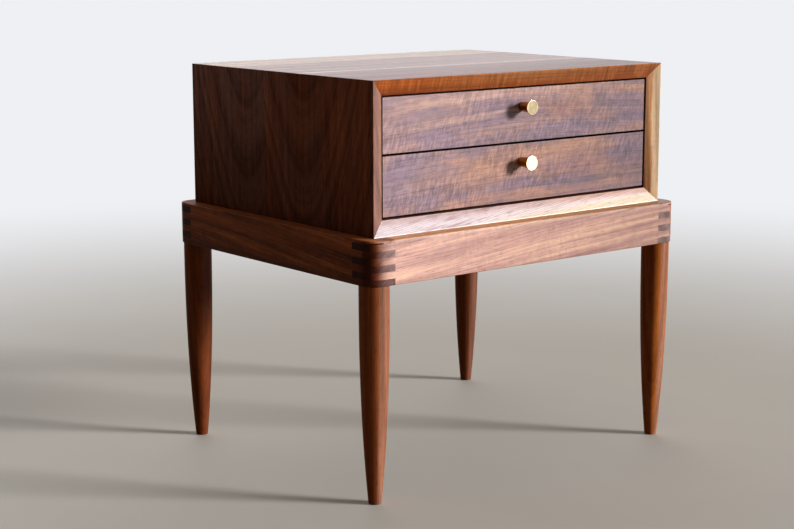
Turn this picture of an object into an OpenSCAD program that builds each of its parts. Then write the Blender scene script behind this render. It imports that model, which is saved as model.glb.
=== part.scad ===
/* [Case] */
// Width of the case, left to right
case_w = 560; // [480:1:640]
// Depth of the case, front to back
case_d = 452; // [400:1:520]
// Height of the case
case_h = 214; // [200:1:240]
// Thickness of the four mitred panels
panel_t = 22; // [18:0.5:26]
// How far back the front bevel reaches at its inner edge
bevel_depth = 10; // [6:0.5:14]
// Flat left on the front edge outside the bevel
front_flat = 1; // [0.5:0.1:2]
// Thickness of the back panel
back_t = 8; // [6:0.5:10]
// Width of the rabbet that holds the back panel
rabbet_w = 10; // [8:0.5:12]
// How far the back panel sits in from the back edge
back_recess = 1.5; // [0.5:0.5:3]
// Thickness of the loose spline in each mitre
spline_t = 4; // [3:0.5:5]
// Width of each spline across its mitre
spline_w = 14; // [10:0.5:16]
// Distance that each spline stops short of the bevel and the rabbet
spline_stop = 30; // [25:1:60]

/* [Base frame] */
// Ledge that the frame shows around the case
ledge = 21.5; // [14:0.5:24]
// Height of the rails
rail_h = 63; // [54:1:75]
// Thickness of the rails
rail_t = 42; // [38:0.5:48]
// Radius of the frame's upright corners
corner_r = 23; // [10:0.5:26]
// Height of one finger of the corner joints
finger_h = 9.8; // [8:0.1:14]

/* [Legs] */
// Length of a leg below the frame
leg_l = 311; // [240:1:380]
// Diameter at the top of a leg
leg_top_d = 43; // [38:0.5:45]
// Diameter at the foot
leg_foot_d = 18.5; // [15:0.5:26]
// Power of the leg's rounded taper, where 1 is a plain cone
leg_taper = 2.4; // [1.5:0.1:3]
// Distance of the leg's axis from the frame's outer faces
leg_inset = 23.2; // [22.5:0.1:25]
// Chamfer around the foot
foot_chamfer = 1; // [0.5:0.1:2]
// Diameter of the round tenon that is glued into the frame
tenon_d = 25; // [20:0.5:28]
// Length of the round tenon
tenon_l = 45; // [36:1:48]

/* [Drawer fronts] */
// Height of the lower drawer front
lower_front_h = 84.2; // [75:0.1:92]
// Thickness of the drawer fronts
front_t = 19; // [18:0.5:22]
// How far the drawer fronts sit behind the bevel's inner edge
front_recess = 1; // [0:0.5:3]
// Gap at each side of the fronts
side_gap = 2.5; // [1.5:0.1:3.5]
// Gap above the upper front and between the two fronts
top_gap = 2.4; // [1.5:0.1:3.5]
// Gap below the lower front
bottom_gap = 3.2; // [1.5:0.1:4]

/* [Drawer boxes] */
// Gap between a closed drawer and the back panel
drawer_back_gap = 21; // [10:1:60]
// Thickness of the drawer sides and backs
side_t = 12; // [11:0.5:13]
// How far the sides stop below the top of the front
side_drop = 6; // [4:0.5:10]
// How far the sides start above the bottom of the front
side_rise = 3; // [2:0.5:6]
// Thickness of the drawer bottoms
bottom_t = 6; // [5:0.5:7]
// Height of the drawer bottom above the lower edge of the sides
bottom_up = 6; // [5:0.5:7]
// Depth of the grooves that hold the drawer bottom
groove_d = 5; // [4:0.5:5.5]
// Number of dovetails on each corner of a drawer
tails = 3; // [2:1:3]
// Length of the dovetails in the front
tail_l = 13; // [10:0.5:15]
// Share of its pitch that each dovetail fills at its root
tail_share = 0.56; // [0.5:0.01:0.6]
// Slope of a dovetail's cheeks, as length over spread
tail_slope = 6; // [5:1:8]

/* [Drawer runners] */
// Height of a runner
runner_h = 15; // [12:0.5:18]
// How deep a runner reaches into its groove
runner_bite = 6; // [4:0.5:6.5]
// Distance from a drawer front's back face to the end of its runner groove
groove_stop = 22; // [18:1:30]
// Distance from a runner's end to the back panel
runner_back_gap = 14; // [5:1:40]
// Number of screws in each runner
runner_screws_n = 3; // [2:1:4]

/* [Knobs] */
// Diameter of a knob's face
knob_d = 21.6; // [18:0.1:26]
// Length of a knob
knob_l = 23.5; // [20:0.5:30]
// Diameter of a knob at the wood
knob_base_d = 13.4; // [12:0.1:16]
// Diameter of a knob's stem behind the flange
knob_neck_d = 16.4; // [14:0.1:17.5]
// Length of the flared flange
knob_flange_l = 3.4; // [3:0.1:5]
// Width of the raised rim around the face
knob_rim_w = 1.6; // [1:0.1:3]
// Distance of the knob's axis below the top of its front
knob_drop = 27; // [20:0.5:35]
// Shank radius of the machine screw that holds a knob
knob_screw_r = 2; // [1.5:0.1:2.5]
// Depth that the machine screw enters the knob
knob_screw_bite = 10; // [6:0.5:14]

/* [Frame fasteners] */
// Radius of the two discs of a figure-of-eight plate
plate_r = 9; // [8:0.5:10]
// Thickness of a plate
plate_t = 2.5; // [2.2:0.1:3]
// Distance between the two holes of a plate
plate_pitch = 14; // [12:0.5:16]
// Distance of the front and back plates from the frame's ends
plate_end = 120; // [90:1:200]
// Length of the screws in the plates
plate_screw_l = 18; // [14:0.5:22]

/* [Wood screws] */
// Shank radius of the wood screws
screw_r = 1.6; // [1.2:0.1:2]
// Head radius of the wood screws
screw_head_r = 3.4; // [2.8:0.1:3.8]
// Length of the screws in the back panel
back_screw_l = 20; // [16:0.5:26]
// Distance of the outer back screws from the case's sides
back_screw_end = 80; // [50:1:140]
// Distance of the side back screws from the case's top and bottom
back_screw_up = 70; // [55:1:85]
// Length of the screws in the drawer bottoms
bottom_screw_l = 16; // [14:0.5:24]
// Distance of the outer screws in a drawer bottom from the drawer's sides
bottom_screw_end = 75; // [40:1:140]
// Length of the screws in the runners
runner_screw_l = 22; // [16:0.5:24]

/* [Hidden] */
$fn = 64;

// Clearances: a glued joint, a screw in its hole, a sliding fit, and an overrun for clean cuts
glue_gap = 0.1;
screw_gap = 0.05;
slide_gap = 0.3;
cut = 1;

// Heights of the frame, the case and its inside
frame_z = leg_l;
case_z = frame_z + rail_h;
case_mid_z = case_z + case_h / 2;
top_z = case_z + case_h;
inside_z = case_z + panel_t;
inside_h = case_h - 2 * panel_t;

// Plan sizes of the frame and the inside of the case
frame_w = case_w + 2 * ledge;
frame_d = case_d + 2 * ledge;
inside_w = case_w - 2 * panel_t;
frame_in_x = frame_w / 2 - rail_t;
frame_in_y = frame_d / 2 - rail_t;
leg_x = frame_w / 2 - leg_inset;
leg_y = frame_d / 2 - leg_inset;

// Fingers of the corner joints, counted up from the frame's lower edge, the last one cut short
least_finger = 0.3;
finger_n = floor(rail_h / finger_h + 1 - least_finger);
function finger_z(k) = k < finger_n ? k * finger_h : rail_h;

// Back panel and its rabbet
rabbet_d = back_t + back_recess;
back_face_y = case_d / 2 - back_recess;
back_front_y = back_face_y - back_t;
back_w = inside_w + 2 * (rabbet_w - glue_gap);
back_h = inside_h + 2 * (rabbet_w - glue_gap);

// Screws in the back panel: x and z, on the middle of the rabbet
back_screw_x = (inside_w + rabbet_w) / 2;
back_screw_z = (inside_h + rabbet_w) / 2;
back_screw_spots = [
    for (x = [-1, 0, 1] * (case_w / 2 - back_screw_end), z = [-1, 1] * back_screw_z) [x, case_mid_z + z],
    for (x = [-1, 1] * back_screw_x, z = [-1, 1] * (case_h / 2 - back_screw_up)) [x, case_mid_z + z]
];

// Drawer fronts, lower one first
front_w = inside_w - 2 * side_gap;
front_y = -case_d / 2 + bevel_depth + front_recess;
front_back_y = front_y + front_t;
upper_front_h = inside_h - bottom_gap - lower_front_h - 2 * top_gap;
front_zs = [inside_z + bottom_gap, inside_z + bottom_gap + lower_front_h + top_gap];
front_hs = [lower_front_h, upper_front_h];

// Drawer boxes, where i is 0 for the lower drawer and 1 for the upper one
drawer_end_y = back_front_y - drawer_back_gap;
back_board_y = drawer_end_y - side_t;
box_in_w = front_w - 2 * side_t;
bottom_w = box_in_w + 2 * (groove_d - glue_gap);
bottom_front_y = front_back_y - groove_d + glue_gap;
bottom_screw_xs = [-1, 0, 1] * (front_w / 2 - bottom_screw_end);
function side_z(i) = front_zs[i] + side_rise;
function side_h(i) = front_hs[i] - side_rise - side_drop;
function bottom_z(i) = side_z(i) + bottom_up;
function board_z(i) = bottom_z(i) + bottom_t + glue_gap;
function board_h(i) = side_z(i) + side_h(i) - board_z(i);

// Runners, each in a groove halfway up a drawer side
runner_w = side_gap + runner_bite;
groove_y = front_back_y + groove_stop;
runner_y = groove_y + slide_gap;
runner_l = back_front_y - runner_back_gap - runner_y;
function runner_z(i) = side_z(i) + (side_h(i) - runner_h) / 2;

// Knobs: a plain stem, a flare as a quarter of an ellipse, a thin disc and a shallow dish in its face
knob_disc_t = 1.4;
knob_edge = 0.5;
knob_dish = 0.3;
knob_flare_l = knob_flange_l - knob_disc_t;
knob_flare_steps = 6;
knob_head_r = 2 * knob_screw_r;
knob_head_l = 1.2 * knob_screw_r;
knob_outline = [
    [0, 0],
    [knob_base_d / 2, 0],
    for (k = [0 : knob_flare_steps]) let (a = 90 * k / knob_flare_steps) [
        knob_neck_d / 2 + (knob_d - knob_neck_d) / 2 * (1 - cos(a)),
        knob_l - knob_flange_l + knob_flare_l * sin(a)
    ],
    [knob_d / 2, knob_l - knob_edge],
    [knob_d / 2 - knob_edge, knob_l],
    [knob_d / 2 - knob_rim_w, knob_l],
    [knob_d / 2 - knob_rim_w - knob_dish, knob_l - knob_dish],
    [0, knob_l - knob_dish]
];
function knob_z(i) = front_zs[i] + front_hs[i] - knob_drop;

// Frame fasteners: x and y on a rail's inner edge, and the turn that makes local y point inwards
plate_in = plate_r - 1;
plate_out = plate_pitch - plate_in;
plate_x = frame_w / 2 - plate_end;
plate_spots = [
    [-plate_x, -frame_in_y, 0], [plate_x, -frame_in_y, 0],
    [-plate_x, frame_in_y, 180], [plate_x, frame_in_y, 180],
    [-frame_in_x, 0, -90], [frame_in_x, 0, 90]
];

// Half outline of a turned leg: foot, rounded taper, shoulder and tenon
leg_steps = 24;
function leg_radius(z) = (leg_top_d - (leg_top_d - leg_foot_d) * pow(1 - z / leg_l, leg_taper)) / 2;
leg_outline = [
    [0, 0],
    [leg_radius(0) - foot_chamfer, 0],
    for (k = [0 : leg_steps]) let (z = foot_chamfer + (leg_l - foot_chamfer) * k / leg_steps) [leg_radius(z), z],
    [tenon_d / 2, leg_l],
    [tenon_d / 2, leg_l + tenon_l],
    [0, leg_l + tenon_l]
];

// Tones of the woods and metals
walnut_dark = [0.20, 0.12, 0.08];
walnut = [0.38, 0.23, 0.15];
walnut_red = [0.45, 0.26, 0.17];
walnut_figured = [0.36, 0.24, 0.19];
maple = [0.80, 0.68, 0.50];
brass = [0.78, 0.62, 0.30];
steel = [0.62, 0.62, 0.64];

// A countersunk wood screw, head up at the origin and shank down, grown to cut its own hole
module wood_screw(length, grow = 0) {
    head_l = screw_head_r - screw_r;
    translate([0, 0, -head_l])
        cylinder(h = head_l + grow, r1 = screw_r + grow, r2 = screw_head_r + grow);
    translate([0, 0, -length - grow])
        cylinder(h = length + grow, r = screw_r + grow);
}

// A case panel lying flat with its outer face up, mitred at both ends, bevelled in front, rabbeted behind
module mitred_panel(length) {
    intersection() {
        rotate([90, 0, 90])
            linear_extrude(length, center = true)
                polygon([
                    [-case_d / 2, 0],
                    [-case_d / 2, -front_flat],
                    [-case_d / 2 + bevel_depth, -panel_t],
                    [case_d / 2 - rabbet_d, -panel_t],
                    [case_d / 2 - rabbet_d, -panel_t + rabbet_w],
                    [case_d / 2, -panel_t + rabbet_w],
                    [case_d / 2, 0]
                ]);
        rotate([90, 0, 0])
            linear_extrude(case_d + 2 * cut, center = true)
                polygon([
                    [-length / 2, 0],
                    [-length / 2 + panel_t, -panel_t],
                    [length / 2 - panel_t, -panel_t],
                    [length / 2, 0]
                ]);
    }
}

// One loose spline across each mitre, grown to cut its grooves
module splines(grow = 0) {
    spline_l = case_d - rabbet_d - bevel_depth - 2 * spline_stop;
    for (sx = [-1, 1], sz = [-1, 1])
        translate([
            sx * (case_w - panel_t) / 2,
            (bevel_depth - rabbet_d) / 2,
            case_mid_z + sz * (case_h - panel_t) / 2
        ])
            rotate([0, sx * sz * 45, 0])
                cube([spline_w + 2 * grow, spline_l + 2 * grow, spline_t + 2 * grow], center = true);
}

// The screws around the back panel, driven from behind
module back_screws(grow = 0) {
    for (spot = back_screw_spots)
        translate([spot[0], back_face_y, spot[1]])
            rotate([-90, 0, 0])
                wood_screw(back_screw_l, grow);
}

// The screws of one runner, where side is 1 for the right side of the case and -1 for the left one
module screws_of_runner(i, side, grow = 0) {
    for (k = [0 : runner_screws_n - 1])
        translate([
            side * (inside_w / 2 - runner_w),
            runner_y + (k + 0.5) * runner_l / runner_screws_n,
            runner_z(i) + runner_h / 2
        ])
            rotate([0, -side * 90, 0])
                wood_screw(runner_screw_l, grow);
}

// Places its children at each frame fastener, with y pointing inwards from the rail's top inner edge
module at_fasteners() {
    for (spot = plate_spots)
        translate([spot[0], spot[1], case_z])
            rotate([0, 0, spot[2]])
                children();
}

// The figure-of-eight plates, grown to cut their pockets
module plates(grow = 0) {
    at_fasteners()
        translate([0, 0, -plate_t])
            linear_extrude(plate_t + grow)
                for (y = [-plate_in, plate_out])
                    translate([0, y])
                        circle(plate_r + grow);
}

// Screws through the plates, down into the rails
module down_screws(grow = 0) {
    at_fasteners()
        translate([0, -plate_in, 0])
            wood_screw(plate_screw_l, grow);
}

// Screws through the plates, up into the case bottom
module up_screws(grow = 0) {
    at_fasteners()
        translate([0, plate_out, -plate_t])
            rotate([180, 0, 0])
                wood_screw(plate_screw_l, grow);
}

module case_top() {
    color(walnut)
        difference() {
            translate([0, 0, top_z])
                mitred_panel(case_w);
            splines(glue_gap);
            back_screws(screw_gap);
        }
}

module case_bottom() {
    color(walnut)
        difference() {
            translate([0, 0, case_z])
                mirror([0, 0, 1])
                    mitred_panel(case_w);
            splines(glue_gap);
            back_screws(screw_gap);
            up_screws(screw_gap);
        }
}

module case_side(side) {
    color(walnut_dark)
        difference() {
            translate([side * case_w / 2, 0, case_mid_z])
                rotate([0, side * 90, 0])
                    mitred_panel(case_h);
            splines(glue_gap);
            back_screws(screw_gap);
            for (i = [0, 1])
                screws_of_runner(i, side, screw_gap);
        }
}

module mitre_splines() {
    color(maple)
        splines();
}

module back_panel() {
    color(walnut)
        difference() {
            translate([-back_w / 2, back_front_y, case_mid_z - back_h / 2])
                cube([back_w, back_t, back_h]);
            back_screws(screw_gap);
        }
}

module back_panel_screws() {
    color(brass)
        back_screws();
}

module runner(i, side) {
    color(maple)
        difference() {
            translate([
                side * (inside_w - runner_w) / 2,
                runner_y + runner_l / 2,
                runner_z(i) + runner_h / 2
            ])
                cube([runner_w, runner_l, runner_h], center = true);
            screws_of_runner(i, side, screw_gap);
        }
}

module runner_screws() {
    color(steel)
        for (i = [0, 1], side = [-1, 1])
            screws_of_runner(i, side);
}

// Outline of the base frame with its rounded corners
module frame_outline() {
    square([frame_w - 2 * corner_r, frame_d], center = true);
    square([frame_w, frame_d - 2 * corner_r], center = true);
    for (sx = [-1, 1], sy = [-1, 1])
        translate([sx * (frame_w / 2 - corner_r), sy * (frame_d / 2 - corner_r)])
            circle(corner_r);
}

// The fingers at the four corners that the rails of one direction own, starting at the first one
module fingers(first) {
    block = rail_t + cut;
    for (k = [first : 2 : finger_n - 1], sx = [-1, 1], sy = [-1, 1])
        translate([
            sx * (frame_in_x + block / 2),
            sy * (frame_in_y + block / 2),
            frame_z + (finger_z(k) + finger_z(k + 1)) / 2
        ])
            cube([block, block, finger_z(k + 1) - finger_z(k)], center = true);
}

// Bores up into the frame's corners for the round tenons
module tenon_bores() {
    for (sx = [-1, 1], sy = [-1, 1])
        translate([sx * leg_x, sy * leg_y, frame_z - cut])
            cylinder(h = tenon_l + 2 * cut, d = tenon_d + 2 * glue_gap);
}

// A rail in the frame's outline, less the fingers of the other rails, the leg bores and the plates' pockets
module rail(size, centre, other) {
    color(walnut_red)
        difference() {
            intersection() {
                translate([0, 0, frame_z])
                    linear_extrude(rail_h)
                        frame_outline();
                translate([centre[0], centre[1], frame_z + rail_h / 2])
                    cube([size[0], size[1], rail_h + 2 * cut], center = true);
            }
            fingers(other);
            tenon_bores();
            plates(glue_gap);
            down_screws(screw_gap);
        }
}

// A rail along x, where side is -1 for the front one and 1 for the back one
module long_rail(side) {
    rail([frame_w + 2 * cut, rail_t], [0, side * (frame_d - rail_t) / 2], 0);
}

// A rail along y, where side is -1 for the left one and 1 for the right one
module short_rail(side) {
    rail([rail_t, frame_d + 2 * cut], [side * (frame_w - rail_t) / 2, 0], 1);
}

module leg(sx, sy) {
    color(walnut_red)
        translate([sx * leg_x, sy * leg_y, 0])
            rotate_extrude()
                polygon(leg_outline);
}

module frame_fasteners() {
    color(steel)
        difference() {
            plates();
            down_screws(screw_gap);
            up_screws(screw_gap);
        }
}

module rail_screws() {
    color(steel)
        down_screws();
}

module case_screws() {
    color(steel)
        up_screws();
}

// Dovetails seen from the side: x runs from the root at 0 to the tip, y spans the joint's height
module tail_shapes(height, length) {
    pitch = height / tails;
    root = pitch * tail_share / 2;
    tip = root + length / tail_slope;
    for (k = [0 : tails - 1])
        translate([0, (k + 0.5) * pitch])
            polygon([[-cut, -root], [0, -root], [length, -tip], [length, tip], [0, root], [-cut, root]]);
}

// Dovetails of one drawer side, turned -90 to point forwards or 90 backwards, with a cutter's overrun outwards
module side_tails(side, y, z, height, length, turn, over = 0) {
    translate([side * (front_w - side_t + over) / 2, y, z])
        rotate([90, 0, turn])
            linear_extrude(side_t + over, center = true)
                tail_shapes(height, length);
}

module front_tails(i, side, gap = 0, over = 0) {
    side_tails(side, front_back_y, side_z(i), side_h(i), tail_l + gap, -90, over);
}

module back_tails(i, side, over = 0) {
    side_tails(side, back_board_y, board_z(i), board_h(i), side_t + over, 90, over);
}

// The board that closes a drawer below, grown to cut its grooves
module bottom_board(i, grow = 0) {
    translate([-bottom_w / 2 - grow, bottom_front_y - grow, bottom_z(i) - grow])
        cube([bottom_w + 2 * grow, drawer_end_y - bottom_front_y + grow, bottom_t + 2 * grow]);
}

// The screws up through a drawer's bottom into its back
module bottom_screws(i, grow = 0) {
    for (x = bottom_screw_xs)
        translate([x, back_board_y + side_t / 2, bottom_z(i)])
            rotate([180, 0, 0])
                wood_screw(bottom_screw_l, grow);
}

// The groove for the runner, open at the back and stopped at the front, where it stops the closed drawer
module runner_groove(i, side) {
    depth = runner_bite + slide_gap;
    length = drawer_end_y - groove_y + cut;
    translate([
        side * (front_w - depth + cut) / 2,
        groove_y + length / 2,
        runner_z(i) + runner_h / 2
    ])
        cube([depth + cut, length, runner_h + 2 * slide_gap], center = true);
}

module drawer_front(i) {
    color(walnut_figured)
        difference() {
            translate([-front_w / 2, front_y, front_zs[i]])
                cube([front_w, front_t, front_hs[i]]);
            for (side = [-1, 1])
                front_tails(i, side, glue_gap, cut);
            bottom_board(i, glue_gap);
            machine_screw(i, screw_gap);
        }
}

module drawer_side(i, side) {
    board_x = side * (front_w - side_t) / 2 - side_t / 2;
    color(maple)
        difference() {
            union() {
                translate([board_x, front_back_y, side_z(i)])
                    cube([side_t, back_board_y - front_back_y, side_h(i)]);
                translate([board_x, front_back_y, side_z(i)])
                    cube([side_t, drawer_end_y - front_back_y, board_z(i) - side_z(i)]);
                front_tails(i, side);
                back_tails(i, side);
            }
            bottom_board(i, glue_gap);
            runner_groove(i, side);
        }
}

module drawer_back(i) {
    color(maple)
        difference() {
            translate([-front_w / 2, back_board_y, board_z(i)])
                cube([front_w, side_t, board_h(i)]);
            for (side = [-1, 1]) {
                back_tails(i, side, cut);
                runner_groove(i, side);
            }
            bottom_screws(i, screw_gap);
        }
}

module drawer_bottom(i) {
    color(maple)
        difference() {
            bottom_board(i);
            bottom_screws(i, screw_gap);
        }
}

module drawer_screws(i) {
    color(steel)
        bottom_screws(i);
}

// The machine screw of a knob: head inside the drawer, shank forwards through the front into the knob
module machine_screw(i, grow = 0) {
    translate([0, front_back_y, knob_z(i)])
        rotate([90, 0, 0]) {
            translate([0, 0, -knob_head_l])
                cylinder(h = knob_head_l, r = knob_head_r);
            translate([0, 0, -grow])
                cylinder(h = front_t + knob_screw_bite + 2 * grow, r = knob_screw_r + grow);
        }
}

module knob(i) {
    color(brass)
        difference() {
            translate([0, front_y, knob_z(i)])
                rotate([90, 0, 0])
                    rotate_extrude()
                        polygon(knob_outline);
            machine_screw(i, screw_gap);
        }
}

module knob_screw(i) {
    color(steel)
        machine_screw(i);
}

case_top();
case_bottom();
case_side(-1);  // case_left_side
case_side(1);  // case_right_side
mitre_splines();
back_panel();
back_panel_screws();
runner(1, -1);  // upper_left_runner
runner(1, 1);  // upper_right_runner
runner(0, -1);  // lower_left_runner
runner(0, 1);  // lower_right_runner
runner_screws();
long_rail(-1);  // front_rail
long_rail(1);  // back_rail
short_rail(-1);  // left_rail
short_rail(1);  // right_rail
leg(-1, -1);  // front_left_leg
leg(1, -1);  // front_right_leg
leg(-1, 1);  // back_left_leg
leg(1, 1);  // back_right_leg
frame_fasteners();
rail_screws();
case_screws();
drawer_front(1);  // upper_drawer_front
drawer_side(1, -1);  // upper_drawer_left_side
drawer_side(1, 1);  // upper_drawer_right_side
drawer_back(1);  // upper_drawer_back
drawer_bottom(1);  // upper_drawer_bottom
drawer_screws(1);  // upper_drawer_screws
knob(1);  // upper_knob
knob_screw(1);  // upper_knob_screw
drawer_front(0);  // lower_drawer_front
drawer_side(0, -1);  // lower_drawer_left_side
drawer_side(0, 1);  // lower_drawer_right_side
drawer_back(0);  // lower_drawer_back
drawer_bottom(0);  // lower_drawer_bottom
drawer_screws(0);  // lower_drawer_screws
knob(0);  // lower_knob
knob_screw(0);  // lower_knob_screw
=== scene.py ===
import math

import bmesh
import bpy
from mathutils import Matrix, Vector


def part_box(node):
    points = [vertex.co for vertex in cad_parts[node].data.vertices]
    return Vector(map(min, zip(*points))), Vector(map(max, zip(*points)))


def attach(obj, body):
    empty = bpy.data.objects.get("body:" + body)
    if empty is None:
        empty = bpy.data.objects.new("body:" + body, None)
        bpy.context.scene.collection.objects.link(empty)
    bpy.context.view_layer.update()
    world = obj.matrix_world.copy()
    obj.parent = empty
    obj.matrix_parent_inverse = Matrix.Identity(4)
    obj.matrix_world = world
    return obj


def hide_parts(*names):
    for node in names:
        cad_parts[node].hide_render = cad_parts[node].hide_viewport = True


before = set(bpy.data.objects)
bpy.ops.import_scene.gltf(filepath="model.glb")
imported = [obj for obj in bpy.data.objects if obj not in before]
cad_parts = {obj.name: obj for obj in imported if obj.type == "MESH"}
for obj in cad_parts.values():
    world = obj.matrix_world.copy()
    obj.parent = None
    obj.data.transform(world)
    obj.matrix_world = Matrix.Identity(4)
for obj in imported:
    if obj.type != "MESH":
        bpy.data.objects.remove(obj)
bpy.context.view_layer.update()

# Camera
# The photograph's view: a long lens from the left of the front, a little above the case's top.
lens_mm = 77.745
sensor_mm = 36.0
camera_place = Vector((-1.6865, -2.0340, 0.7630))
camera_turn = math.radians(-38.67)
camera_tilt = math.radians(79.51)
camera_roll = math.radians(-0.10)

camera = bpy.data.objects.new("camera", bpy.data.cameras.new("camera"))
camera.data.sensor_width = sensor_mm
camera.data.lens = lens_mm
camera.matrix_world = (
    Matrix.Translation(camera_place)
    @ Matrix.Rotation(camera_turn, 4, "Z")
    @ Matrix.Rotation(camera_tilt, 4, "X")
    @ Matrix.Rotation(camera_roll, 4, "Z")
)
bpy.context.scene.collection.objects.link(camera)
bpy.context.scene.camera = camera
bpy.context.scene.view_settings.view_transform = "Standard"


# Legs
# Four legs of solid walnut, each turned from one blank to a slim rounded taper. A round tenon on top
# is glued up through both rails of its corner. They have a satin oil finish.
mm = 0.001
leg_foot_r = 9.25 * mm
leg_taper = 2.4
leg_foot_round = 1.0 * mm
leg_shoulder_round = 0.5 * mm
tenon_r = 12.5 * mm
tenon_chamfer = 1.2 * mm
leg_steps = 40
leg_turns = 96
crisp_angle = math.radians(38)
weld = 0.001 * mm
glue_line = 0.2 * mm
window_side = Vector((0.656, -0.755, 0.0))
X, Y, Z = Vector((1, 0, 0)), Vector((0, 1, 0)), Vector((0, 0, 1))


class Wire:
    """A socket in a material, which takes part in sums as a number does."""

    def __init__(self, paint, socket):
        self.paint = paint
        self.socket = socket

    def __add__(self, other):
        return self.paint.maths("ADD", self, other)

    def __radd__(self, other):
        return self.paint.maths("ADD", other, self)

    def __sub__(self, other):
        return self.paint.maths("SUBTRACT", self, other)

    def __rsub__(self, other):
        return self.paint.maths("SUBTRACT", other, self)

    def __mul__(self, other):
        return self.paint.maths("MULTIPLY", self, other)

    def __rmul__(self, other):
        return self.paint.maths("MULTIPLY", other, self)

    def __truediv__(self, other):
        return self.paint.maths("DIVIDE", self, other)

    def __pow__(self, other):
        return self.paint.maths("POWER", self, other)


class Paint:
    """The nodes of one material, or of the world."""

    def __init__(self, owner):
        owner.use_nodes = True
        self.owner = owner
        self.tree = owner.node_tree
        self.surface = self.tree.nodes[0]

    def node(self, kind, settings, values, output=0):
        """Any node: its settings are set first, then the values or links of its sockets."""
        made = self.tree.nodes.new(kind)
        for key, setting in settings.items():
            if key == "stops":
                self.set_stops(made.color_ramp, setting)
            else:
                setattr(made, key, setting)
        self.plug(made, values)
        return Wire(self, made.outputs[output])

    def set_stops(self, ramp, stops):
        while len(ramp.elements) < len(stops):
            ramp.elements.new(1.0)
        for element, (place, colour) in zip(ramp.elements, stops):
            element.position = place
            element.color = (*colour, 1.0)

    def plug(self, made, values):
        for key, value in values.items():
            if isinstance(value, Wire):
                self.tree.links.new(value.socket, made.inputs[key])
            else:
                made.inputs[key].default_value = value

    def maths(self, operation, *inputs):
        return self.node("ShaderNodeMath", {"operation": operation}, dict(enumerate(inputs)))

    def vector(self, operation, *inputs, output=0):
        return self.node("ShaderNodeVectorMath", {"operation": operation}, dict(enumerate(inputs)), output)

    def axis(self, vector, name):
        return self.node("ShaderNodeSeparateXYZ", {}, {0: vector}, name)

    def noise(self, place, stretch, detail=1.0, output=0):
        """Noise with so many waves to the metre along each axis, around a half."""
        stretched = self.vector("MULTIPLY", place, stretch)
        values = {"Vector": stretched, "Scale": 1.0, "Detail": detail}
        return self.node("ShaderNodeTexNoise", {}, values, output)

    def noise_along(self, place, detail=1.0):
        """Noise along a single value."""
        values = {"W": place, "Scale": 1.0, "Detail": detail}
        return self.node("ShaderNodeTexNoise", {"noise_dimensions": "1D"}, values)

    def rise(self, value, low, high):
        """A smooth step from 0 at low to 1 at high."""
        values = {"Value": value, "From Min": low, "From Max": high}
        return self.node("ShaderNodeMapRange", {"interpolation_type": "SMOOTHSTEP"}, values)

    def mix(self, share, first, second):
        """A colour that goes from the first to the second."""
        return self.node("ShaderNodeMix", {"data_type": "RGBA"}, {0: share, 6: first, 7: second}, 2)

    def dimmed(self, colour, factor):
        return self.node("ShaderNodeVectorMath", {"operation": "SCALE"}, {0: colour, "Scale": factor})

    def ramp(self, value, stops):
        return self.node("ShaderNodeValToRGB", {"stops": stops}, {0: value})


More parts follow.
